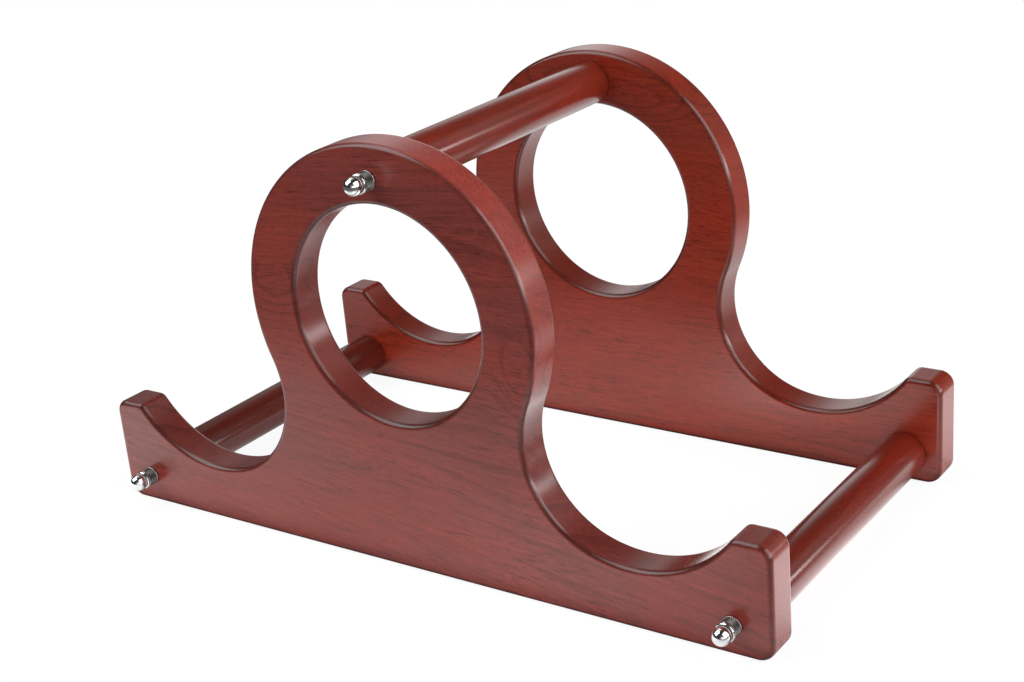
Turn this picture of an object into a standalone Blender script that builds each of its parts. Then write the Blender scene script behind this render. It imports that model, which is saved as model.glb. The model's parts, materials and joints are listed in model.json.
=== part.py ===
"""Tabletop bottle rack: two shaped side boards held apart by three round rails.

A bottle lies through the round openings of both boards, and one more on each pair of side
cradles. Every rail ends against the inner face of a board. A threaded stud in the rail's end
passes through the board, and a knurled thumb nut with a ball end pulls the joint tight.

Metres, +Z up. +X runs along the boards and +Y from the front board to the rear board. The
origin is on the table, under the middle of the rack.
"""
from math import acos, atan2, ceil, cos, hypot, pi, radians, sin, sqrt

import bmesh
import bpy

# Side boards. Their outline is symmetric about X = 0.
BOARD_HALF_LENGTH = 0.1626
BOARD_THICKNESS = 0.016
RACK_DEPTH = 0.174             # over the outer faces of both boards
OPENING_RADIUS = 0.045
OPENING_HEIGHT = 0.110         # height of the opening's centre
RING_RADIUS = 0.0689           # outside of the ring around the opening
CRADLE_RADIUS = 0.0406         # inner part of a cradle
RAMP_RADIUS = 0.053            # outer, flatter part of a cradle, up to its lip
NECK_ANGLE = radians(-23.4)    # from the opening's centre to where ring and cradle meet
END_HEIGHT = 0.0472
END_FLAT = 0.0158              # flat top of an end, from the cradle's lip to the end face
LIP_ROUND = 0.0039             # corner between the cradle and the flat top
TOP_ROUND = 0.0061             # corner between the flat top and the end face
BOTTOM_ROUND = 0.0071          # corner between the end face and the foot
EDGE_ROUND = 0.0022            # round-over along every edge of a board's two faces

# Rails. Each is held by one stud at each end.
RAIL_RADIUS = 0.0095
TOP_RAIL_HEIGHT = 0.1651
LOW_RAIL_X = 0.1465
LOW_RAIL_HEIGHT = 0.0129
RAIL_EDGE = 0.0004             # broken edge at a rail's ends

# Studs, M4: plain rods as wide as the thread's mean diameter
STUD_RADIUS = 0.0019
STUD_DEPTH = 0.025             # length inside the rail
STUD_REACH = 0.007             # length beyond the board's outer face
STUD_EDGE = 0.0004
BOARD_HOLE_RADIUS = 0.0024

# Thumb nuts, turned from bar: knurled barrel, collar, groove and ball
BARREL_RADIUS = 0.0039
BARREL_LENGTH = 0.0052
BARREL_EDGE = 0.0003
COLLAR_RADIUS = 0.0040
COLLAR_LENGTH = 0.0012
GROOVE_RADIUS = 0.0034
BALL_RADIUS = 0.0037
BALL_HEIGHT = 0.0085           # from the nut's foot to the ball's centre
NUT_BORE_DEPTH = 0.0076

# Room between neighbouring pieces
GAP = 0.0003

# Fineness of the round shapes
OUTLINE_STEP = radians(6.0)
CORNER_STEP = radians(18.0)
OPENING_SIDES = 60
RAIL_SIDES = 32
STUD_SIDES = 16
NUT_SIDES = 20
EDGE_SEGMENTS = 3

MERGE_DISTANCE = 0.00001
CUTTER_OVERRUN = 0.002         # how far a cutter stands out of what it cuts


def clear_scene():
    for thing in list(bpy.data.objects):
        bpy.data.objects.remove(thing, do_unlink=True)


def make_material(name, colour, roughness, metallic):
    material = bpy.data.materials.new(name)
    material.use_nodes = True
    shader = material.node_tree.nodes["Principled BSDF"]
    shader.inputs["Base Color"].default_value = (*colour, 1.0)
    shader.inputs["Roughness"].default_value = roughness
    shader.inputs["Metallic"].default_value = metallic
    material.diffuse_color = (*colour, 1.0)
    return material


def add_object(name, mesh, material, smooth=False):
    thing = bpy.data.objects.new(name, mesh)
    bpy.context.scene.collection.objects.link(thing)
    if not mesh.materials:
        mesh.materials.append(material)
    if smooth:
        mesh.shade_smooth()
        mesh.set_sharp_from_angle(angle=radians(35.0))
    return thing


def arc(centre, radius, start, end, step):
    """Points along an arc in the XZ plane, both ends included."""
    count = max(2, ceil(abs(end - start) / step))
    angles = [start + (end - start) * i / count for i in range(count + 1)]
    return [(centre[0] + radius * cos(a), centre[1] + radius * sin(a)) for a in angles]


def rounded_corner(before, corner, after, radius):
    """The arc that rounds a corner between two straight lines."""
    to_before = atan2(before[1] - corner[1], before[0] - corner[0])
    to_after = atan2(after[1] - corner[1], after[0] - corner[0])
    turn = (to_after - to_before + pi) % (2 * pi) - pi
    middle = to_before + turn / 2
    reach = radius / abs(sin(turn / 2))
    centre = (corner[0] + reach * cos(middle), corner[1] + reach * sin(middle))
    side = 1 if turn > 0 else -1
    start = to_before - side * pi / 2
    return arc(centre, radius, start, start - side * (pi - abs(turn)), CORNER_STEP)


def ramp_centre(cradle, lip):
    """The centre of the arc that runs on smoothly from the cradle's inner arc to the lip."""
    to_lip = (lip[0] - cradle[0], lip[1] - cradle[1])
    apart = hypot(*to_lip)
    reach = RAMP_RADIUS - CRADLE_RADIUS
    turn = acos((reach ** 2 + apart ** 2 - RAMP_RADIUS ** 2) / (2 * reach * apart))
    angle = atan2(to_lip[1], to_lip[0]) + turn
    return (cradle[0] + reach * cos(angle), cradle[1] + reach * sin(angle))


def half_outline():
    """The board's outline at X >= 0, from the top of the ring down to the foot's middle."""
    spread = RING_RADIUS + CRADLE_RADIUS
    cradle = (spread * cos(NECK_ANGLE), OPENING_HEIGHT + spread * sin(NECK_ANGLE))
    lip = (BOARD_HALF_LENGTH - END_FLAT, END_HEIGHT)
    end_top = (BOARD_HALF_LENGTH, END_HEIGHT)
    end_foot = (BOARD_HALF_LENGTH, 0.0)
    middle_foot = (0.0, 0.0)

    # The lip's rounding touches the ramp from outside and the flat top from below.
    ramp = ramp_centre(cradle, lip)
    ramp_start = atan2(cradle[1] - ramp[1], cradle[0] - ramp[0])
    rounding_z = END_HEIGHT - LIP_ROUND
    rounding_x = ramp[0] + sqrt((RAMP_RADIUS + LIP_ROUND) ** 2 - (rounding_z - ramp[1]) ** 2)
    ramp_end = atan2(rounding_z - ramp[1], rounding_x - ramp[0])

    ring = arc((0.0, OPENING_HEIGHT), RING_RADIUS, pi / 2, NECK_ANGLE, OUTLINE_STEP)
    hollow = arc(cradle, CRADLE_RADIUS, NECK_ANGLE - pi, ramp_start, OUTLINE_STEP)
    rise = arc(ramp, RAMP_RADIUS, ramp_start, ramp_end, OUTLINE_STEP)
    points = ring + hollow[1:] + rise[1:]
    points += arc((rounding_x, rounding_z), LIP_ROUND, ramp_end + pi, pi / 2, CORNER_STEP)[1:]
    points += rounded_corner(lip, end_top, end_foot, TOP_ROUND)
    points += rounded_corner(end_top, end_foot, middle_foot, BOTTOM_ROUND)
    return points


def board_mesh():
    """A sharp-edged board standing on the table, with its outer face at Y = 0."""
    right = half_outline()
    left = [(-x, z) for x, z in reversed(right[1:])]
    bm = bmesh.new()
    face = bm.faces.new([bm.verts.new((x, 0.0, z)) for x, z in right + left])
    extruded = bmesh.ops.extrude_face_region(bm, geom=[face])["geom"]
    moved = [item for item in extruded if isinstance(item, bmesh.types.BMVert)]
    bmesh.ops.translate(bm, verts=moved, vec=(0.0, BOARD_THICKNESS, 0.0))
    bmesh.ops.recalc_face_normals(bm, faces=bm.faces)
    mesh = bpy.data.meshes.new("side_board")
    bm.to_mesh(mesh)
    bm.free()
    return mesh


def turned_mesh(name, profile, sides):
    """A solid turned about Z from (radius, height) points whose two ends are on the axis."""
    bm = bmesh.new()
    verts = [bm.verts.new((radius, 0.0, height)) for radius, height in profile]
    edges = [bm.edges.new(pair) for pair in zip(verts, verts[1:])]
    bmesh.ops.spin(bm, geom=verts + edges, cent=(0.0, 0.0, 0.0), axis=(0.0, 0.0, 1.0),
                   angle=2 * pi, steps=sides, use_merge=True)
    bmesh.ops.remove_doubles(bm, verts=bm.verts, dist=MERGE_DISTANCE)
    bmesh.ops.recalc_face_normals(bm, faces=bm.faces)
    mesh = bpy.data.meshes.new(name)
    bm.to_mesh(mesh)
    bm.free()
    return mesh


def drill(name, radius, sides, x, z):
    """A cutter through both boards along Y."""
    length = RACK_DEPTH + 2 * CUTTER_OVERRUN
    profile = [(0.0, 0.0), (radius, 0.0), (radius, length), (0.0, length)]
    cutter = bpy.data.objects.new(name, turned_mesh(name, profile, sides))
    bpy.context.scene.collection.objects.link(cutter)
    cutter.location = (x, -length / 2, z)
    cutter.rotation_euler = (-pi / 2, 0.0, 0.0)
    cutter.hide_render = True
    cutter.display_type = "WIRE"
    return cutter


def add_cut(board, cutter):
    cut = board.modifiers.new(cutter.name, "BOOLEAN")
    cut.operation = "DIFFERENCE"
    cut.solver = "EXACT"
    cut.object = cutter


def add_edge_round(board):
    bevel = board.modifiers.new("edge_round", "BEVEL")
    bevel.width = EDGE_ROUND
    bevel.segments = EDGE_SEGMENTS
    bevel.limit_method = "ANGLE"
    bevel.angle_limit = radians(60.0)
    bevel.use_clamp_overlap = False


def rail_profile(length):
    """Half a section through a rail, with a blind bore for a stud in each end."""
    bore = STUD_RADIUS + GAP
    depth = STUD_DEPTH + GAP
    lower_half = [
        (0.0, depth),
        (bore, depth),
        (bore, 0.0),
        (RAIL_RADIUS - RAIL_EDGE, 0.0),
        (RAIL_RADIUS, RAIL_EDGE),
    ]
    upper_half = [(radius, length - height) for radius, height in reversed(lower_half)]
    return lower_half + upper_half


def stud_profile(length):
    slim = STUD_RADIUS - STUD_EDGE
    return [
        (0.0, 0.0),
        (slim, 0.0),
        (STUD_RADIUS, STUD_EDGE),
        (STUD_RADIUS, length - STUD_EDGE),
        (slim, length),
        (0.0, length),
    ]


def nut_profile():
    """Half a section through a thumb nut, from the bottom of its blind bore to the ball's top."""
    bore = STUD_RADIUS + GAP
    collar_top = BARREL_LENGTH + COLLAR_LENGTH
    shoulder = BARREL_RADIUS - BARREL_EDGE
    groove_angle = -acos(GROOVE_RADIUS / BALL_RADIUS)
    ball = arc((0.0, BALL_HEIGHT), BALL_RADIUS, groove_angle, pi / 2, radians(18.0))
    return [
        (0.0, NUT_BORE_DEPTH),
        (bore, NUT_BORE_DEPTH),
        (bore, 0.0),
        (shoulder, 0.0),
        (BARREL_RADIUS, BARREL_EDGE),
        (BARREL_RADIUS, BARREL_LENGTH - BARREL_EDGE),
        (shoulder, BARREL_LENGTH),
        (COLLAR_RADIUS, BARREL_LENGTH + COLLAR_LENGTH / 3),
        (COLLAR_RADIUS, collar_top - COLLAR_LENGTH / 3),
        (GROOVE_RADIUS, collar_top),
        *ball[:-1],
        (0.0, BALL_HEIGHT + BALL_RADIUS),
    ]


def build_boards(rail_places, wood):
    """Both boards: round-edged first, then drilled, so that the stud holes stay sharp."""
    opening = drill("opening_cutter", OPENING_RADIUS, OPENING_SIDES, 0.0, OPENING_HEIGHT)
    stud_drills = [
        drill(f"{side}_stud_cutter", BOARD_HOLE_RADIUS, STUD_SIDES, x, z)
        for side, (x, z) in rail_places.items()
    ]
    fronts = {
        "front_side_board": -RACK_DEPTH / 2,
        "rear_side_board": RACK_DEPTH / 2 - BOARD_THICKNESS,
    }
    mesh = board_mesh()
    for name, front in fronts.items():
        board = add_object(name, mesh, wood)
        board.location.y = front
        add_cut(board, opening)
        add_edge_round(board)
        for cutter in stud_drills:
            add_cut(board, cutter)


def build_rails(rail_places, wood):
    length = RACK_DEPTH - 2 * BOARD_THICKNESS - 2 * GAP
    mesh = turned_mesh("rail", rail_profile(length), RAIL_SIDES)
    for side, (x, z) in rail_places.items():
        rail = add_object(f"{side}_rail", mesh, wood, smooth=True)
        rail.location = (x, -length / 2, z)
        rail.rotation_euler = (-pi / 2, 0.0, 0.0)


def build_fasteners(rail_places, steel, chrome):
    """A stud and a thumb nut at each rail end, with their own +Z pointing out of the rack."""
    stud_length = STUD_DEPTH + GAP + BOARD_THICKNESS + STUD_REACH
    stud_start = RACK_DEPTH / 2 + STUD_REACH - stud_length
    nut_start = RACK_DEPTH / 2 + GAP
    stud = turned_mesh("stud", stud_profile(stud_length), STUD_SIDES)
    nut = turned_mesh("thumb_nut", nut_profile(), NUT_SIDES)
    for end, outward in {"front": -1, "rear": 1}.items():
        for side, (x, z) in rail_places.items():
            for kind, mesh, start, material in (
                ("stud", stud, stud_start, steel),
                ("thumb_nut", nut, nut_start, chrome),
            ):
                piece = add_object(f"{end}_{side}_{kind}", mesh, material, smooth=True)
                piece.location = (x, outward * start, z)
                piece.rotation_euler = (-outward * pi / 2, 0.0, 0.0)


def main():
    clear_scene()
    board_wood = make_material("board_wood", (0.135, 0.030, 0.022), 0.36, 0.0)
    rail_wood = make_material("rail_wood", (0.105, 0.018, 0.011), 0.30, 0.0)
    stud_steel = make_material("stud_steel", (0.55, 0.55, 0.56), 0.35, 1.0)
    nut_chrome = make_material("nut_chrome", (0.78, 0.79, 0.80), 0.12, 1.0)
    rail_places = {
        "top": (0.0, TOP_RAIL_HEIGHT),
        "left": (-LOW_RAIL_X, LOW_RAIL_HEIGHT),
        "right": (LOW_RAIL_X, LOW_RAIL_HEIGHT),
    }
    build_boards(rail_places, board_wood)
    build_rails(rail_places, rail_wood)
    build_fasteners(rail_places, stud_steel, nut_chrome)


main()
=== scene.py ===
"""Looks of the tabletop bottle rack: stained and lacquered wood, chromed thumb nuts.

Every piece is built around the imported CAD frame, in metres, +Z up. +X runs along the side boards
and +Y from the front board to the rear board. Lengths that the frame holds are read from it.
"""
import json
from math import acos, atan2, ceil, cos, degrees, hypot, pi, radians, sin, sqrt

import bmesh
import bpy
from mathutils import Matrix, Vector


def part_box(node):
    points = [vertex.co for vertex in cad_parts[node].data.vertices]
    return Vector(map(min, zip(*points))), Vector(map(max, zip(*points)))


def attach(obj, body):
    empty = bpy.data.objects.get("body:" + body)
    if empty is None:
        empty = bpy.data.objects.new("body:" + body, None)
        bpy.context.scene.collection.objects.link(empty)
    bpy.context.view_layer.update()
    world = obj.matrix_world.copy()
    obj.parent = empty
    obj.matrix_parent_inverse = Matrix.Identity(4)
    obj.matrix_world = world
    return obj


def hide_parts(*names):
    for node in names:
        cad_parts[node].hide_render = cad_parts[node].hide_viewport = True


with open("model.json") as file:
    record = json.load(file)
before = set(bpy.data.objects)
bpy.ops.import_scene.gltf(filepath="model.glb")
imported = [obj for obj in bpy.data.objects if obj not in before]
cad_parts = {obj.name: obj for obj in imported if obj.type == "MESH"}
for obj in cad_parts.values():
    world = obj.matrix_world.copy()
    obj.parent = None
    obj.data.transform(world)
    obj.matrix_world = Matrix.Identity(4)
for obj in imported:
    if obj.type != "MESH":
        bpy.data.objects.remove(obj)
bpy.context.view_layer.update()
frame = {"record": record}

MM = 0.001

# Side board, beside what the frame gives
CRADLE_RADIUS = 0.0406
RAMP_RADIUS = 0.053
NECK_ANGLE = radians(-23.4)
END_HEIGHT = 0.0472
END_FLAT = 0.0158
LIP_ROUND = 0.0039
TOP_ROUND = 0.0061
BOTTOM_ROUND = 0.0071
EDGE_ROUND = 0.0022
OPENING_RADIUS = 0.045
STUD_HOLE_RADIUS = 0.0024
STUD_HOLE_ROUND = 0.0003
OUTLINE_STEP = radians(1.5)
CORNER_STEP = radians(5.0)
ROUND_STEPS = 7
STUD_HOLE_SIDES = 48

# Painted shade on a board's edges: how light its edges are coloured against its faces. The
# cradles, bores, end tops and the rear board's ring are coloured darker for the shade that falls
# there.
RING_SHADE_LEVEL = {"front": 1.0, "rear": 0.80}
CRADLE_SHADE_LEVEL = 0.56
END_SHADE_LEVEL = 0.80
BORE_SHADE_LEVEL = 0.56
SHADE_DROOP = (8.0, 24.0)       # degrees below the ring's middle over which the painted shade deepens

# Rails
RAIL_END_ROUND = 0.0006
RAIL_SIDES = 128
BORE_SIDE_GAP = 0.0003

# Studs: a machine thread outside the rail and a wood thread inside it
THREAD_RADIUS = 0.00198
THREAD_PITCH = 0.0007
THREAD_DEPTH = 0.00040
WOOD_THREAD_PITCH = 0.0018
WOOD_THREAD_DEPTH = 0.00055
THREAD_SIDES = 32
THREAD_STEPS = 8               # rows of points in one turn of a thread
THREAD_RUN_OUT = 0.001         # over which a thread fades away
WAIST_DEPTH = 0.0045           # from the rail's end in to the wood thread
WAIST_LENGTH = 0.0025
WOOD_TIP_RADIUS = 0.0006
WOOD_TIP_LENGTH = 0.0004
WOOD_TAPER_LENGTH = 0.006
WOOD_TAPER_START = 0.45        # share of the radius where the taper begins
STUD_TIP = 0.0005

# Thumb nuts
BARREL_RADIUS = 0.0039
BARREL_LENGTH = 0.0052
BARREL_EDGE = 0.00035
COLLAR_RADIUS = 0.0040
COLLAR_LENGTH = 0.0012
GROOVE_RADIUS = 0.0034
BALL_RADIUS = 0.0037
BALL_HEIGHT = 0.0085
NUT_BORE_RADIUS = 0.0022
NUT_BORE_DEPTH = 0.0076
NUT_BORE_CHAMFER = 0.0003
KNURL_COUNT = 36
KNURL_DEPTH = 0.00022
KNURL_STEPS = 8
KNURL_START = 0.0006
KNURL_END = BARREL_LENGTH - 0.0002
SHOULDER = 0.0003
COLLAR_LEAN = 0.35             # radians by which the collar's rounding is turned up
BALL_STEPS = 36
NUT_SIDES = KNURL_COUNT * KNURL_STEPS

RACK = "rack"
SIDES = ("top", "left", "right")
ENDS = {"front": -1, "rear": 1}


# ---------------------------------------------------------------- shapes

def arc(centre, radius, start, end, step, hollow=False):
    """Points (x, z, nx, nz) along an arc, with the normal that points out of the wood."""
    count = max(2, ceil(abs(end - start) / step))
    angles = [start + (end - start) * i / count for i in range(count + 1)]
    sign = -1 if hollow else 1
    return [
        (centre[0] + radius * cos(a), centre[1] + radius * sin(a), sign * cos(a), sign * sin(a))
        for a in angles
    ]


def rounded_corner(before, corner, after, radius):
    """The arc that rounds a convex corner between two straight lines."""
    to_before = atan2(before[1] - corner[1], before[0] - corner[0])
    to_after = atan2(after[1] - corner[1], after[0] - corner[0])
    turn = (to_after - to_before + pi) % (2 * pi) - pi
    middle = to_before + turn / 2
    reach = radius / abs(sin(turn / 2))
    centre = (corner[0] + reach * cos(middle), corner[1] + reach * sin(middle))
    side = 1 if turn > 0 else -1
    start = to_before - side * pi / 2
    return arc(centre, radius, start, start - side * (pi - abs(turn)), CORNER_STEP)


def ramp_centre(cradle, lip):
    """The centre of the arc that runs on smoothly from a cradle's inner arc to its lip."""
    to_lip = (lip[0] - cradle[0], lip[1] - cradle[1])
    apart = hypot(*to_lip)
    reach = RAMP_RADIUS - CRADLE_RADIUS
    turn = acos((reach ** 2 + apart ** 2 - RAMP_RADIUS ** 2) / (2 * reach * apart))
    angle = atan2(to_lip[1], to_lip[0]) + turn
    return (cradle[0] + reach * cos(angle), cradle[1] + reach * sin(angle))


def board_outline(half_length, ring_radius, opening_height):
    """The closed outline of a side board, as (x, z, nx, nz) points."""
    spread = ring_radius + CRADLE_RADIUS
    cradle = (spread * cos(NECK_ANGLE), opening_height + spread * sin(NECK_ANGLE))
    lip = (half_length - END_FLAT, END_HEIGHT)
    end_top = (half_length, END_HEIGHT)
    end_foot = (half_length, 0.0)

    # The lip's rounding touches the ramp from outside and the flat top from below.
    ramp = ramp_centre(cradle, lip)
    ramp_start = atan2(cradle[1] - ramp[1], cradle[0] - ramp[0])
    rounding_z = END_HEIGHT - LIP_ROUND
    rounding_x = ramp[0] + sqrt((RAMP_RADIUS + LIP_ROUND) ** 2 - (rounding_z - ramp[1]) ** 2)
    ramp_end = atan2(rounding_z - ramp[1], rounding_x - ramp[0])

    ring = arc((0.0, opening_height), ring_radius, pi / 2, NECK_ANGLE, OUTLINE_STEP)
    hollow = arc(cradle, CRADLE_RADIUS, NECK_ANGLE - pi, ramp_start, OUTLINE_STEP, hollow=True)
    rise = arc(ramp, RAMP_RADIUS, ramp_start, ramp_end, OUTLINE_STEP, hollow=True)
    right = ring + hollow[1:] + rise[1:]
    right += arc((rounding_x, rounding_z), LIP_ROUND, ramp_end + pi, pi / 2, CORNER_STEP)[1:]
    right += rounded_corner(lip, end_top, end_foot, TOP_ROUND)
    right += rounded_corner(end_top, end_foot, (0.0, 0.0), BOTTOM_ROUND)
    left = [(-x, z, -nx, nz) for x, z, nx, nz in reversed(right[1:])]
    return right + left


def hole_outline(x, z, radius, sides):
    whole = arc((x, z), radius, 0.0, 2 * pi, 2 * pi / sides, hollow=True)
    return whole[:-1]


def edge_stations(rounding, thickness):
    """(inset, depth, share of the outline's normal, share of the face's normal) across an edge."""
    turns = [pi / 2 * i / ROUND_STEPS for i in range(ROUND_STEPS + 1)]
    front = [(rounding * (1 - sin(t)), rounding * (1 - cos(t)), sin(t), -cos(t)) for t in turns]
    back = [(inset, thickness - depth, out, -face) for inset, depth, out, face in reversed(front)]
    return front + back


def outline_painted_shade(point, half_length, ring_radius, opening_height, ring_shade):
    """The painted shade at a point of a board's outline: light on the ring, then darker."""
    x, z, nx, nz = point
    if hypot(x, z - opening_height) < ring_radius + 0.5 * MM:
        droop = degrees(atan2(opening_height - z, abs(x)))
        start, end = SHADE_DROOP
        share = min(1.0, max(0.0, (droop - start) / (end - start)))
        share = share * share * (3.0 - 2.0 * share)
        return ring_shade + (CRADLE_SHADE_LEVEL - ring_shade) * share
    if abs(x) > half_length - END_FLAT:
        return CRADLE_SHADE_LEVEL + (END_SHADE_LEVEL - CRADLE_SHADE_LEVEL) * nx * nx
    return CRADLE_SHADE_LEVEL


def board_mesh(name, low, high, places, opening_height, ring_shade):
    """A board with rounded edges, its round opening and its stud holes, between two corners.
    It keeps how much darker its rounded edges are coloured and its painted shade at each point as
    attributes."""
    thickness = high.y - low.y
    ring_radius = high.z - opening_height
    contours = [(board_outline(high.x, ring_radius, opening_height), EDGE_ROUND)]
    opening_sides = round(2 * pi / OUTLINE_STEP)
    contours.append((hole_outline(0.0, opening_height, OPENING_RADIUS, opening_sides), EDGE_ROUND))
    for x, z in places.values():
        contours.append((hole_outline(x, z, STUD_HOLE_RADIUS, STUD_HOLE_SIDES), STUD_HOLE_ROUND))

    bm = bmesh.new()
    normals = []
    edge_darkening = []
    edge_shades = []
    caps = ([], [])
    for number, (contour, rounding) in enumerate(contours):
        # Painted shade on the side walls: each point of the outline gets its own level, and the
        # bores all get one darker level.
        if number == 0:
            sides = [outline_painted_shade(point, high.x, ring_radius, opening_height, ring_shade)
                     for point in contour]
        else:
            sides = [BORE_SHADE_LEVEL] * len(contour)
        loops = []
        for inset, depth, out, face in edge_stations(rounding, thickness):
            loop = []
            for (x, z, nx, nz), side in zip(contour, sides):
                loop.append(bm.verts.new((x - inset * nx, low.y + depth, z - inset * nz)))
                normals.append((out * nx, face, out * nz))
                # Darkest halfway round each rounded edge.
                edge_darkening.append(4.0 * abs(out * face) ** 2)
                # The painted shade grows from none on the face to the side wall's level round the
                # rounded edge.
                edge_shades.append(1.0 + (side - 1.0) * out)
            loops.append(loop)
        for near, far in zip(loops, loops[1:]):
            for i, vert in enumerate(near):
                bm.faces.new((near[i - 1], vert, far[i], far[i - 1]))
        for cap, loop in zip(caps, (loops[0], loops[-1])):
            cap += [bm.edges.get((loop[i - 1], vert)) for i, vert in enumerate(loop)]
    for cap in caps:
        bmesh.ops.triangle_fill(bm, edges=cap, use_beauty=True)
    bmesh.ops.recalc_face_normals(bm, faces=bm.faces)
    for face in bm.faces:
        face.smooth = True
    mesh = bpy.data.meshes.new(name)
    bm.to_mesh(mesh)
    bm.free()
    for attribute, values in (("rounded_edge_darkening", edge_darkening), ("painted_edge_shade", edge_shades)):
        data = mesh.attributes.new(attribute, "FLOAT", "POINT").data
        data.foreach_set("value", values)
    mesh.normals_split_custom_set_from_vertices(normals)
    return mesh


def revolved_mesh(name, profile, sides, relief=None):
    """A closed solid of revolution about Z from (radius, height) points with both ends on the
    axis. A third value asks for relief: relief(angle, height) times it lowers the point, and the
    mesh keeps its size as the "relief" attribute."""
    bm = bmesh.new()
    rings = []
    asked = []
    for radius, height, *asks in profile:
        asked += [abs(asks[0]) if asks else 0.0] * (sides if radius else 1)
        if radius == 0.0:
            rings.append([bm.verts.new((0.0, 0.0, height))])
            continue
        ring = []
        for i in range(sides):
            angle = 2 * pi * i / sides
            reach = radius - (relief(angle, height) * asks[0] if asks else 0.0)
            ring.append(bm.verts.new((reach * cos(angle), reach * sin(angle), height)))
        rings.append(ring)
    for low, high in zip(rings, rings[1:]):
        for i in range(sides):
            corners = [low[i - 1], low[i]] if len(low) > 1 else [low[0]]
            corners += [high[i], high[i - 1]] if len(high) > 1 else [high[0]]
            bm.faces.new(corners)
    bmesh.ops.recalc_face_normals(bm, faces=bm.faces)
    mesh = bpy.data.meshes.new(name)
    bm.to_mesh(mesh)
    bm.free()
    cut = mesh.attributes.new("relief", "FLOAT", "POINT")
    cut.data.foreach_set("value", asked)
    mesh.shade_smooth()
    mesh.set_sharp_from_angle(angle=radians(32.0))
    return mesh


def quarter(radius, height, rounding, start, steps=5):
    """(radius, height) points of a quarter turn around a centre, from an angle, going up."""
    turns = [start + pi / 2 * i / steps for i in range(steps + 1)]
    return [(radius + rounding * cos(t), height + rounding * sin(t)) for t in turns]


def rail_mesh(name, length, radius, bore_radius, bore_depth):
    """A round rail with a blind bore in each end, the same both ways round."""
    lower = [(0.0, bore_depth), (bore_radius, bore_depth), (bore_radius, 0.0)]
    lower += quarter(radius - RAIL_END_ROUND, RAIL_END_ROUND, RAIL_END_ROUND, -pi / 2)
    upper = [(r, length - h) for r, h in reversed(lower)]
    return revolved_mesh(name, lower + upper, RAIL_SIDES)


def thread_relief(angle, height, pitch, depth):
    """How deep a helical thread is at a point: a V wave, cut flat where it is deepest."""
    phase = (height / pitch - angle / (2 * pi)) % 1.0
    away = abs(phase - 0.5) * 2.0
    return depth * min(1.0, max(0.0, (1.0 - away) * 1.25))


def stud_mesh(name, length, rail_end):
    """A hanger bolt: wood thread from its slim inner end, a plain waist, then machine thread.
    The wood thread stands proud of its core, the machine thread is cut into the rod."""
    waist = rail_end - WAIST_DEPTH
    profile = [(0.0, 0.0), (WOOD_TIP_RADIUS, 0.0)]
    rows = round((waist - WOOD_TIP_LENGTH) / (WOOD_THREAD_PITCH / THREAD_STEPS))
    for i in range(rows + 1):
        past_tip = (waist - WOOD_TIP_LENGTH) * i / rows
        height = WOOD_TIP_LENGTH + past_tip
        taper = min(1.0, WOOD_TAPER_START + past_tip / WOOD_TAPER_LENGTH)
        fade = min(1.0, (waist - height) / THREAD_RUN_OUT, past_tip / THREAD_RUN_OUT)
        profile.append((THREAD_RADIUS * taper, height, -max(0.0, fade)))
    start = waist + WAIST_LENGTH
    rows = round((length - start) / (THREAD_PITCH / THREAD_STEPS))
    for i in range(rows + 1):
        height = start + (length - start) * i / rows
        from_tip = length - height
        tip = min(0.0, from_tip - STUD_TIP)
        fade = min(1.0, (height - start) / THREAD_RUN_OUT, from_tip / (0.2 * MM) + 0.3)
        profile.append((THREAD_RADIUS + tip, height, max(0.0, fade)))
    profile.append((0.0, length))

    def relief(angle, height):
        if height < start:
            return thread_relief(angle, height, WOOD_THREAD_PITCH, WOOD_THREAD_DEPTH)
        return thread_relief(angle, height, THREAD_PITCH, THREAD_DEPTH)

    return revolved_mesh(name, profile, THREAD_SIDES, relief)


def knurl_relief(angle, height):
    """Two sets of crossing helical V grooves, which leave small pyramids between them."""
    turn = angle * KNURL_COUNT / (2 * pi)
    rise = height / (2 * pi * BARREL_RADIUS / KNURL_COUNT)
    right = abs(2.0 * ((turn + rise) % 1.0) - 1.0)
    left = abs(2.0 * ((turn - rise) % 1.0) - 1.0)
    return KNURL_DEPTH * (1.0 - min(right, left, 0.85) / 0.85)


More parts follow.
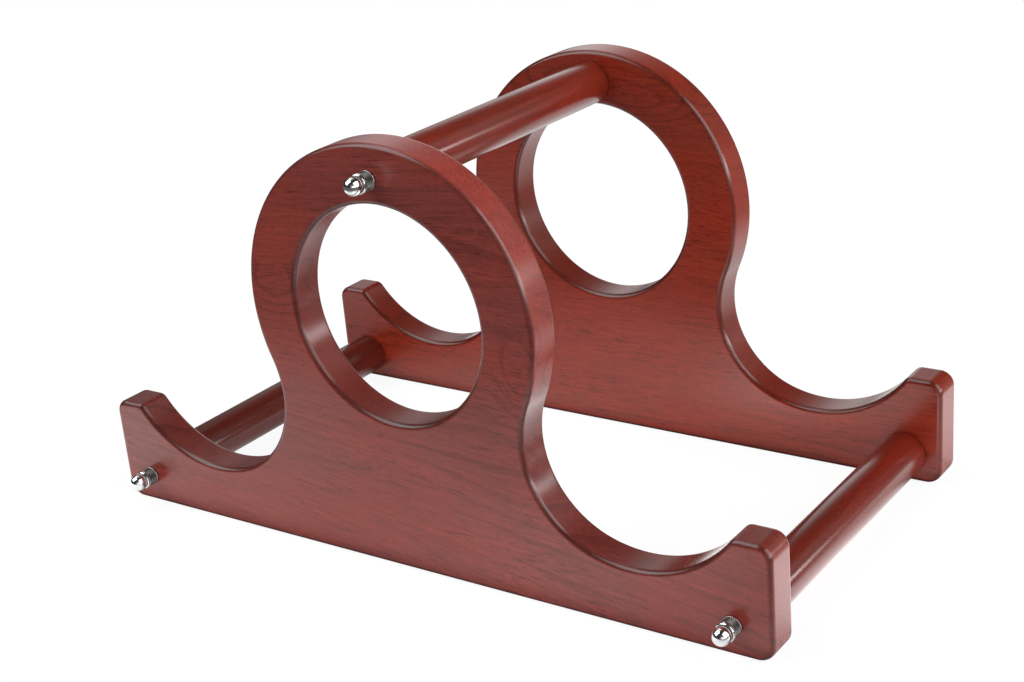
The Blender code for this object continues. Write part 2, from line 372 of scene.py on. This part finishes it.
def nut_mesh(name):
    """A blind bore, the knurled barrel, a rounded collar, a groove and the ball end."""
    profile = [
        (0.0, NUT_BORE_DEPTH),
        (NUT_BORE_RADIUS, NUT_BORE_DEPTH),
        (NUT_BORE_RADIUS, NUT_BORE_CHAMFER),
        (NUT_BORE_RADIUS + NUT_BORE_CHAMFER, 0.0),
    ]
    profile += quarter(BARREL_RADIUS - BARREL_EDGE, BARREL_EDGE, BARREL_EDGE, -pi / 2)
    rows = round((KNURL_END - KNURL_START) / (2 * pi * BARREL_RADIUS / NUT_SIDES))
    for i in range(rows + 1):
        height = KNURL_START + (KNURL_END - KNURL_START) * i / rows
        fade = min(1.0, i / 2, (rows - i) / 2)
        profile.append((BARREL_RADIUS, height, fade))
    profile.append((BARREL_RADIUS - SHOULDER, BARREL_LENGTH))
    rounding = COLLAR_LENGTH / 2
    collar = COLLAR_RADIUS - rounding
    middle = BARREL_LENGTH + rounding
    profile += quarter(collar, middle, rounding, -pi / 2 + COLLAR_LEAN, 4)
    profile += quarter(collar, middle, rounding, COLLAR_LEAN, 4)
    groove_angle = -acos(GROOVE_RADIUS / BALL_RADIUS)
    groove_height = BALL_HEIGHT + BALL_RADIUS * sin(groove_angle)
    profile.append((GROOVE_RADIUS, groove_height - 0.1 * MM))
    for i in range(1, BALL_STEPS):
        angle = groove_angle + (pi / 2 - groove_angle) * i / BALL_STEPS
        profile.append((BALL_RADIUS * cos(angle), BALL_HEIGHT + BALL_RADIUS * sin(angle)))
    profile.append((0.0, BALL_HEIGHT + BALL_RADIUS))
    return revolved_mesh(name, profile, NUT_SIDES, knurl_relief)


# ---------------------------------------------------------------- materials

FAN_HEIGHT = 0.10              # where the grain of a board runs level


class Graph:
    """A node tree, with short ways to add nodes and to join them."""

    def __init__(self, tree):
        self.tree = tree
        self.tree.nodes.clear()

    def add(self, kind, inputs=None, **settings):
        node = self.tree.nodes.new(kind)
        for key, value in settings.items():
            setattr(node, key, value)
        for key, value in (inputs or {}).items():
            self.feed(node.inputs[key], value)
        return node

    def feed(self, socket, value):
        if isinstance(value, bpy.types.NodeSocket):
            self.tree.links.new(value, socket)
        else:
            socket.default_value = value

    def math(self, operation, first, second=0.0, clamp=False):
        inputs = {0: first, 1: second}
        return self.add("ShaderNodeMath", inputs, operation=operation, use_clamp=clamp).outputs[0]

    def noise(self, vector, scale, detail=2.0, roughness=0.5):
        inputs = {"Vector": vector, "Scale": scale, "Detail": detail, "Roughness": roughness}
        return self.add("ShaderNodeTexNoise", inputs).outputs["Fac"]

    def stretched(self, vector, along, across):
        """vector, squeezed so that a texture of scale 1 has features 1/along by 1/across."""
        scale = self.add("ShaderNodeVectorMath", {0: vector, 1: (along, across, across)},
                         operation="MULTIPLY")
        return scale.outputs[0]

    def ramp(self, value, low, high, to_low=0.0, to_high=1.0):
        inputs = {"Value": value, "From Min": low, "From Max": high, "To Min": to_low,
                  "To Max": to_high}
        node = self.add("ShaderNodeMapRange", inputs, interpolation_type="SMOOTHSTEP")
        return node.outputs["Result"]

    def mix(self, share, first, second, blend="MIX"):
        node = self.add("ShaderNodeMix", data_type="RGBA", blend_type=blend)
        self.feed(node.inputs["Factor"], share)
        self.feed(node.inputs[6], first)
        self.feed(node.inputs[7], second)
        return node.outputs[2]


def new_material(name):
    material = bpy.data.materials.new(name)
    material.use_nodes = True
    return material, Graph(material.node_tree)


def grain_place(g, here, turn, shift, fan):
    """The point whose X runs along the grain, for a point of the piece."""
    place = g.add("ShaderNodeMapping", {"Vector": here, "Location": shift,
                                        "Rotation": (0.0, 0.0, turn)}).outputs["Vector"]
    at = g.add("ShaderNodeSeparateXYZ", {"Vector": here})
    below = g.math("MULTIPLY", g.math("SUBTRACT", FAN_HEIGHT, at.outputs["Z"]), fan)
    spread = g.add("ShaderNodeCombineXYZ", {"Z": g.math("MULTIPLY", at.outputs["X"], below)})
    return g.add("ShaderNodeVectorMath", {0: place, 1: spread.outputs[0]},
                 operation="ADD").outputs[0]


def late_wood(g, place, eyes):
    """How dark the growth rings are: contour lines of a field that runs along the grain and
    swells at a knot, plain at the knots and coming and going elsewhere."""
    split = g.add("ShaderNodeSeparateXYZ", {"Vector": place})
    across = g.math("ADD", split.outputs["Z"], g.math("MULTIPLY", split.outputs["Y"], 0.6))
    field = g.noise(g.stretched(place, 7.0, 30.0), 1.0, detail=1.0, roughness=0.4)
    rings = g.math("ADD", g.math("MULTIPLY", across, 110.0), g.math("MULTIPLY", field, 5.0))
    rings = g.math("ADD", rings, g.math("MULTIPLY", eyes, 2.8))
    phase = g.math("FRACT", rings)
    late = g.math("MULTIPLY", g.ramp(phase, 0.55, 0.93), g.ramp(phase, 1.0, 0.94))
    patches = g.ramp(g.noise(g.stretched(place, 10.0, 20.0), 1.0, detail=1.0), 0.45, 0.65)
    show = g.math("ADD", g.math("MULTIPLY", patches, 0.75), 0.10)
    show = g.math("MAXIMUM", show, g.ramp(eyes, 0.05, 0.6, 0.0, 0.85))
    return g.math("MULTIPLY", late, show)


def stained_wood(name, tint, turn=0.0, shift=(0.0, 0.0, 0.0), knots=(), figure=1.0, satin=0.24,
                 with_edge_shade=False, fan=0.0):
    """Stained wood under a clear satin lacquer, with its grain along X turned about Z by turn.
    tint is its mean colour; knots are (x, z, half length, half height) of the places that the
    growth rings bend around; figure scales how much of rings and pores shows; the edge flag takes
    the painted shade of the edges from the mesh; fan is how fast, per metre of height, the grain
    turns from falling below FAN_HEIGHT to rising above it."""
    material, g = new_material(name)
    here = g.add("ShaderNodeTexCoord").outputs["Object"]
    place = grain_place(g, here, turn, shift, fan)

    # The fibres wander a little across their length, and run round the knots.
    wander = g.noise(g.stretched(place, 9.0, 12.0), 1.0, detail=1.0)
    lift = g.math("MULTIPLY", g.math("SUBTRACT", wander, 0.5), 0.012)
    eyes = 0.0
    for x, z, half_length, half_height in knots:
        off = g.add("ShaderNodeVectorMath", {0: here, 1: (x, 0.0, z)},
                    operation="SUBTRACT").outputs[0]
        off = g.add("ShaderNodeVectorMath", {0: off, 1: (1 / half_length, 0.0, 1 / half_height)},
                    operation="MULTIPLY").outputs[0]
        away = g.add("ShaderNodeVectorMath", {0: off, 1: off},
                     operation="DOT_PRODUCT").outputs["Value"]
        away = g.math("MULTIPLY", away, g.ramp(wander, 0.3, 0.7, 0.7, 1.35))
        eye = g.math("POWER", 2.718, g.math("MULTIPLY", away, -1.0))
        eyes = g.math("ADD", eyes, eye)
        bend = g.math("MULTIPLY", g.math("MULTIPLY", eye, eye), 0.004)
        side = g.add("ShaderNodeSeparateXYZ", {"Vector": off}).outputs["Z"]
        lift = g.math("SUBTRACT", lift, g.math("MULTIPLY", bend, side))
    late = late_wood(g, place, eyes)

    # Fine fibres, short dark pores and slow changes in how the wood took the stain.
    drift = g.add("ShaderNodeCombineXYZ", {"Y": lift, "Z": lift}).outputs[0]
    fibre_place = g.add("ShaderNodeVectorMath", {0: place, 1: drift}, operation="ADD").outputs[0]
    fibres = g.noise(g.stretched(fibre_place, 18.0, 1050.0), 1.0, detail=2.0, roughness=0.55)
    fine = g.noise(g.stretched(fibre_place, 70.0, 2400.0), 1.0, detail=2.0)
    pores = g.noise(g.stretched(fibre_place, 120.0, 2300.0), 1.0, detail=1.0)
    crowd = g.noise(g.stretched(place, 12.0, 70.0), 1.0, detail=1.0)
    pores = g.math("ADD", pores, g.math("MULTIPLY", g.math("SUBTRACT", crowd, 0.5), 0.30))
    pores = g.ramp(pores, 0.60, 0.74)
    blotch = g.noise(g.stretched(place, 9.0, 20.0), 1.0, detail=2.0, roughness=0.5)

    shade = g.ramp(fibres, 0.25, 0.75, 0.87, 1.13)
    shade = g.math("MULTIPLY", shade, g.ramp(blotch, 0.30, 0.70, 1.07, 0.93))
    shade = g.math("MULTIPLY", shade, g.ramp(fine, 0.30, 0.70, 1.11, 0.89))
    speckle = g.noise(place, 750.0, detail=2.0)
    shade = g.math("MULTIPLY", shade, g.ramp(speckle, 0.30, 0.70, 1.07, 0.93))
    shade = g.math("MULTIPLY", shade,
                   g.math("SUBTRACT", 1.0, g.math("MULTIPLY", late, 0.30 * figure)))
    shade = g.math("MULTIPLY", shade,
                   g.math("SUBTRACT", 1.0, g.math("MULTIPLY", pores, 0.48 * figure)))
    # The rounded edges are coloured darker, most halfway round.
    edge_dark = g.add("ShaderNodeAttribute", attribute_name="rounded_edge_darkening").outputs["Fac"]
    shade = g.math("MULTIPLY", shade, g.math("SUBTRACT", 1.0, g.math("MULTIPLY", edge_dark, 0.55)))
    # Painted shade: the side walls are coloured darker where shade falls, in the cradles, bores
    # and end tops and on the rear board's ring.
    if with_edge_shade:
        edge_shade = g.add("ShaderNodeAttribute", attribute_name="painted_edge_shade").outputs["Fac"]
        shade = g.math("MULTIPLY", shade, edge_shade)
    colour = g.add("ShaderNodeVectorMath", {0: tint, 1: shade}, operation="MULTIPLY")
    lean = g.ramp(g.noise(g.stretched(place, 20.0, 38.0), 1.0, detail=2.0), 0.32, 0.68)
    warm = g.mix(lean, (1.07, 0.95, 0.87, 1.0), (0.93, 1.05, 1.15, 1.0))
    colour = g.mix(1.0, colour.outputs[0], warm, blend="MULTIPLY")

    relief = g.math("SUBTRACT", g.math("MULTIPLY", fibres, 0.3), g.math("MULTIPLY", pores, 0.4))
    wood_bump = g.add("ShaderNodeBump", {"Height": relief, "Strength": 0.2, "Distance": 0.0001})
    wave = g.noise(g.stretched(place, 45.0, 90.0), 1.0, detail=1.0)
    coat_height = g.math("ADD", wave, g.math("MULTIPLY", relief, 0.03))
    coat_bump = g.add("ShaderNodeBump", {"Height": coat_height, "Strength": 0.05,
                                         "Distance": 0.0004})
    haze = g.noise(g.stretched(place, 25.0, 40.0), 1.0, detail=3.0)
    shader = g.add("ShaderNodeBsdfPrincipled", {
        "Base Color": colour,
        "Roughness": g.ramp(fibres, 0.2, 0.8, 0.50, 0.62),
        "Specular IOR Level": 0.06,
        "Normal": wood_bump.outputs["Normal"],
        "Coat Weight": 1.0,
        "Coat Roughness": g.ramp(haze, 0.25, 0.75, satin - 0.03, satin + 0.03),
        "Coat IOR": 1.5,
        "Coat Normal": coat_bump.outputs["Normal"],
    })
    output = g.add("ShaderNodeOutputMaterial")
    g.feed(output.inputs["Surface"], shader.outputs["BSDF"])
    return material


def polished_metal(name, colour, shade_and_smudge_colour, roughness, hollow_shade_and_dulling, cut_painted_shade=0.0, cut_rough=0.0):
    """Plated metal. Its hollows are duller and coloured darker, a painted shade found by an
    occlusion pass, and fine polishing lines run round it.
    The two cut settings say how much darker and rougher knurls and threads are; the darker colour
    is painted shade and painted reflection."""
    material, g = new_material(name)
    place = g.add("ShaderNodeTexCoord").outputs["Object"]
    # Painted shade: hollows found by an occlusion pass are coloured darker and made duller.
    hollow = g.add("ShaderNodeAmbientOcclusion", {"Distance": 0.0009}, samples=6).outputs["AO"]
    open_to_light = g.ramp(hollow, 0.45, 0.98)
    cut = g.add("ShaderNodeAttribute", attribute_name="relief").outputs["Fac"]
    smudge = g.noise(place, 420.0, detail=3.0)
    lines = g.noise(g.stretched(place, 900.0, 9000.0), 1.0, detail=2.0)
    shade = g.mix(g.math("MULTIPLY", g.math("SUBTRACT", 1.0, open_to_light), hollow_shade_and_dulling), colour, shade_and_smudge_colour)
    shade = g.mix(g.ramp(smudge, 0.45, 0.8, 0.0, 0.10), shade, shade_and_smudge_colour)
    # Painted shade and painted reflection: knurls and threads are coloured darker, for the shade
    # and dark reflections in their grooves.
    shade = g.mix(g.math("MULTIPLY", cut, cut_painted_shade, clamp=True), shade, shade_and_smudge_colour)
    rough = g.math("ADD", g.ramp(smudge, 0.35, 0.75, roughness, roughness + 0.05),
                   g.math("MULTIPLY", g.math("SUBTRACT", 1.0, open_to_light), 0.15 * hollow_shade_and_dulling))
    rough = g.math("ADD", rough, g.math("MULTIPLY", cut, cut_rough))
    # Mirrored in the lacquer beside it the metal is a blur, not a second set of sparks.
    seen_straight = g.add("ShaderNodeLightPath").outputs["Is Camera Ray"]
    blur = g.math("MULTIPLY", g.math("SUBTRACT", 1.0, seen_straight), 0.5)
    rough = g.math("ADD", rough, blur, clamp=True)
    bump = g.add("ShaderNodeBump", {"Height": lines, "Strength": 0.08, "Distance": 0.00002})
    shader = g.add("ShaderNodeBsdfPrincipled", {
        "Base Color": shade,
        "Metallic": 1.0,
        "Roughness": rough,
        "Normal": bump.outputs["Normal"],
    })
    output = g.add("ShaderNodeOutputMaterial")
    g.feed(output.inputs["Surface"], shader.outputs["BSDF"])
    return material


# ---------------------------------------------------------------- pieces

def add_piece(name, mesh, material, node, body):
    mesh.materials.append(material)
    piece = bpy.data.objects.new(name, mesh)
    bpy.context.scene.collection.objects.link(piece)
    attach(piece, body)
    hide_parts(node)
    return piece


def along_y(outward, start, x, z):
    """The matrix that stands a piece's own +Z along +Y or -Y, with its foot at start."""
    turn = Matrix.Rotation(-outward * pi / 2, 4, "X")
    return Matrix.Translation((x, start, z)) @ turn


def rail_places():
    """Where each rail's axis crosses the XZ plane."""
    places = {}
    for side in SIDES:
        low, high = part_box(f"{side}_rail")
        places[side] = ((low.x + high.x) / 2, (low.z + high.z) / 2)
    return places


def opening_middle():
    """How high the middle of the round opening is."""
    openings = frame["record"]["physics"]["openings"]
    low, high = next(o["box_m"] for o in openings if o["name"] == "middle_bottle_opening")
    return (low[2] + high[2]) / 2


def add_boards(places):
    tints = {"front": (0.262, 0.0405, 0.0295), "rear": (0.258, 0.0245, 0.0090)}
    shifts = {"front": (0.310, 0.020, 0.045), "rear": (0.870, 0.210, 0.330)}
    knots = {
        "front": ((-0.0560, 0.1130, 0.018, 0.010), (0.062, 0.094, 0.012, 0.016)),
        "rear": ((-0.004, 0.1640, 0.030, 0.009), (0.030, 0.1570, 0.030, 0.010)),
    }
    fans = {"front": 1.6, "rear": 0.0}
    for end in ENDS:
        node = f"{end}_side_board"
        low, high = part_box(node)
        mesh = board_mesh(f"{node}_lacquered", low, high, places, opening_middle(),
                          RING_SHADE_LEVEL[end])
        material = stained_wood(f"{end}_board_wood", tints[end], shift=shifts[end],
                                knots=knots[end], with_edge_shade=True, fan=fans[end])
        add_piece(f"{node}_lacquered", mesh, material, node, RACK)


def add_rails(places):
    tints = {
        "top": (0.148, 0.0150, 0.0065),
        # The left rail's darker tint is painted shade, for the shade it sits in.
        "left": (0.092, 0.0100, 0.0045),
        "right": (0.135, 0.0110, 0.0040),
    }
    for number, side in enumerate(SIDES):
        node = f"{side}_rail"
        low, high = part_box(node)
        stud_low, stud_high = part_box(f"front_{side}_stud")
        bore_depth = stud_high.y - low.y + BORE_SIDE_GAP
        bore_radius = (stud_high.x - stud_low.x) / 2 + BORE_SIDE_GAP
        mesh = rail_mesh(f"{node}_lacquered", high.y - low.y, (high.x - low.x) / 2,
                         bore_radius, bore_depth)
        mesh.transform(along_y(1, low.y, *places[side]))
        shift = (0.13 * number, 0.37 * number, 0.05)
        material = stained_wood(f"{node}_wood", tints[side], turn=pi / 2, shift=shift,
                                figure=0.3, satin=0.20)
        add_piece(f"{node}_lacquered", mesh, material, node, RACK)


def add_fasteners(places):
    chrome = polished_metal("nut_chrome", (0.84, 0.85, 0.86, 1), (0.085, 0.075, 0.062, 1),
                            roughness=0.07, hollow_shade_and_dulling=1.0, cut_painted_shade=0.88, cut_rough=0.28)
    steel = polished_metal("stud_steel", (0.62, 0.62, 0.60, 1), (0.16, 0.15, 0.13, 1),
                           roughness=0.26, hollow_shade_and_dulling=0.7)
    for end, outward in ENDS.items():
        for side, (x, z) in places.items():
            node = f"{end}_{side}_stud"
            low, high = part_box(node)
            foot = high.y if outward < 0 else low.y
            rail_low, rail_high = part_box(f"{side}_rail")
            rail_end = abs((rail_low.y if outward < 0 else rail_high.y) - foot)
            mesh = stud_mesh(f"{node}_threaded", high.y - low.y, rail_end)
            mesh.transform(along_y(outward, foot, x, z))
            add_piece(f"{node}_threaded", mesh, steel, node, RACK)

            node = f"{end}_{side}_thumb_nut"
            low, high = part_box(node)
            foot = high.y if outward < 0 else low.y
            mesh = nut_mesh(f"{node}_knurled")
            mesh.transform(along_y(outward, foot, x, z))
            add_piece(f"{node}_knurled", mesh, chrome, node, node)


# ---------------------------------------------------------------- stage

CAMERA_AZIMUTH = radians(36.07)
CAMERA_ELEVATION = radians(21.29)
CAMERA_ROLL = radians(-5.04)
CAMERA_DISTANCE = 0.7524
CAMERA_TARGET = (-0.0035, 0.0, 0.0675)
CAMERA_LENS = 61.16
SOFTBOX_DISTANCE = 3.0
FLOOR_RADIUS = 6.0
FLOOR_WHITE = 0.91             # what the camera sees of the floor's own light

# Glows of the studio: azimuth from +X and elevation in degrees, width, strength
STUDIO_GLOWS = (
    (152.0, 59.0, 0.033, 1.55),
    (52.0, 30.0, 0.020, 0.60),
    (126.0, 21.0, 0.020, 0.60),
    (114.0, 4.5, 0.033, 1.50),
    (50.0, 6.0, 0.012, 0.45),
    (-46.0, 2.5, 0.051, 1.80),
)

# Light and shade on the floor: x, y, radius, sharpness of the edge, strength
FLOOR_GLOWS = (
    (-0.050, 0.067, 0.333, 7.0, 0.85),
    (0.070, 0.050, 0.080, 2.0, -0.40),
    (-0.166, 0.008, 0.060, 2.0, -0.65),
    (0.178, -0.020, 0.055, 2.0, 1.45),
    (0.230, 0.140, 0.060, 2.0, 1.00),
    (-0.090, 0.146, 0.064, 2.0, 1.10),
    (-0.238, -0.150, 0.089, 2.0, 0.90),
    (0.060, -0.010, 0.040, 2.0, 2.20),
    (0.080, -0.170, 0.055, 2.0, 0.80),
)


def add_camera():
    azimuth, elevation = CAMERA_AZIMUTH, CAMERA_ELEVATION
    back = Vector((sin(azimuth) * cos(elevation), -cos(azimuth) * cos(elevation), sin(elevation)))
    level = Vector((cos(azimuth), sin(azimuth), 0.0))
    upright = back.cross(level)
    right = level * cos(CAMERA_ROLL) + upright * sin(CAMERA_ROLL)
    up = upright * cos(CAMERA_ROLL) - level * sin(CAMERA_ROLL)
    data = bpy.data.cameras.new("camera")
    data.sensor_width = 36.0
    data.lens = CAMERA_LENS
    data.clip_start = 0.01
    data.clip_end = 50.0
    camera = bpy.data.objects.new("camera", data)
    camera.matrix_world = (
        Matrix.Translation(Vector(CAMERA_TARGET) + back * CAMERA_DISTANCE)
        @ Matrix((right, up, back)).transposed().to_4x4()
    )
    bpy.context.scene.collection.objects.link(camera)
    bpy.context.scene.camera = camera


def heading(azimuth, elevation):
    """The unit vector at two angles in degrees, the first one from +X towards +Y."""
    turn, lift = radians(azimuth), radians(elevation)
    return Vector((cos(turn) * cos(lift), sin(turn) * cos(lift), sin(lift)))


def add_softbox(name, aim, half_width, half_height, radiance):
    """A rectangular area light far off, with half sizes as tangents of its half angles."""
    data = bpy.data.lights.new(name, "AREA")
    data.shape = "RECTANGLE"
    data.size = 2 * half_width * SOFTBOX_DISTANCE
    data.size_y = 2 * half_height * SOFTBOX_DISTANCE
    data.energy = 4 * data.size * data.size_y * radiance
    light = bpy.data.objects.new(name, data)
    light.location = aim * SOFTBOX_DISTANCE
    light.rotation_mode = "QUATERNION"
    light.rotation_quaternion = aim.to_track_quat("Z", "Y")
    light.visible_camera = False
    bpy.context.scene.collection.objects.link(light)


def lobe(g, vector, aim, width):
    """A soft round spot of light around a direction, 1.0 in its middle."""
    near = g.add("ShaderNodeVectorMath", {0: vector, 1: aim}, operation="DOT_PRODUCT")
    fall = g.math("DIVIDE", g.math("SUBTRACT", near.outputs["Value"], 1.0), width)
    return g.math("POWER", 2.718, fall)


def white_to_camera(g, light, white):
    """light for the rays that light the rack, and plain white for what the camera sees."""
    camera_ray = g.add("ShaderNodeLightPath").outputs["Is Camera Ray"]
    return g.mix(camera_ray, light, (white, white, white, 1.0))


def add_world():
    """A dim studio with soft glows: overhead, low behind the rack and low in front of it."""
    world = bpy.data.worlds.new("studio")
    bpy.context.scene.world = world
    world.use_nodes = True
    g = Graph(world.node_tree)
    direction = g.add("ShaderNodeTexCoord").outputs["Generated"]
    light = 0.04
    for azimuth, elevation, width, strength in STUDIO_GLOWS:
        glow = lobe(g, direction, heading(azimuth, elevation), width)
        light = g.math("ADD", light, g.math("MULTIPLY", glow, strength))
    background = g.add("ShaderNodeBackground", {"Color": white_to_camera(g, light, 1.0)})
    output = g.add("ShaderNodeOutputWorld")
    g.feed(output.inputs["Surface"], background.outputs["Background"])


def add_floor():
    """A pale table top, lit from within so that it stays white around the rack."""
    bm = bmesh.new()
    bmesh.ops.create_circle(bm, cap_ends=True, segments=96, radius=FLOOR_RADIUS)
    mesh = bpy.data.meshes.new("floor")
    bm.to_mesh(mesh)
    bm.free()
    floor = bpy.data.objects.new("floor", mesh)
    bpy.context.scene.collection.objects.link(floor)
    material, g = new_material("pale_floor")
    here = g.add("ShaderNodeTexCoord").outputs["Object"]

    def spot(centre, radius, power):
        """1.0 within a radius of a point of the floor, falling off outside."""
        away = g.add("ShaderNodeVectorMath", {0: here, 1: centre}, operation="DISTANCE")
        ratio = g.math("DIVIDE", away.outputs["Value"], radius)
        return g.math("POWER", 2.718, g.math("MULTIPLY", g.math("POWER", ratio, power), -1.0))

    outward = g.add("ShaderNodeVectorMath", {0: here}, operation="NORMALIZE").outputs[0]
    toward_back = g.add("ShaderNodeSeparateXYZ", {"Vector": outward}).outputs["Y"]
    light = g.math("MAXIMUM", g.math("MULTIPLY", toward_back, 0.16), 0.0)
    for x, y, radius, power, strength in FLOOR_GLOWS:
        glow = spot((x, y, 0.0), radius, power)
        light = g.math("ADD", light, g.math("MULTIPLY", glow, strength))
    # The boards stand on the paper and shade it.
    across = g.add("ShaderNodeSeparateXYZ", {"Vector": here})
    off_board = g.math("SUBTRACT", g.math("ABSOLUTE", across.outputs["Y"]), 0.079)
    off_board = g.math("ABSOLUTE", off_board)
    beside = g.math("ABSOLUTE", across.outputs["X"])
    open_paper = g.math("MAXIMUM", g.ramp(off_board, 0.005, 0.022), g.ramp(beside, 0.150, 0.180))
    light = g.math("MULTIPLY", light, open_paper)
    glow = g.add("ShaderNodeEmission", {"Color": white_to_camera(g, light, FLOOR_WHITE)})
    paper = g.add("ShaderNodeBsdfDiffuse", {"Color": (0.12, 0.12, 0.12, 1.0)})
    both = g.add("ShaderNodeAddShader", {0: glow.outputs[0], 1: paper.outputs[0]})
    output = g.add("ShaderNodeOutputMaterial")
    g.feed(output.inputs["Surface"], both.outputs[0])
    mesh.materials.append(material)


def set_stage():
    add_camera()
    add_world()
    add_floor()
    add_softbox("key_softbox", heading(2.0, 38.0), 0.52, 0.37, 2.45)
    add_softbox("low_softbox", heading(10.0, 12.0), 0.72, 0.07, 7.2)
    add_softbox("left_softbox", heading(218.0, 48.0), 0.34, 0.45, 2.8)
    bpy.context.scene.view_settings.view_transform = "Standard"


places = rail_places()
add_boards(places)
add_rails(places)
add_fasteners(places)
set_stage()
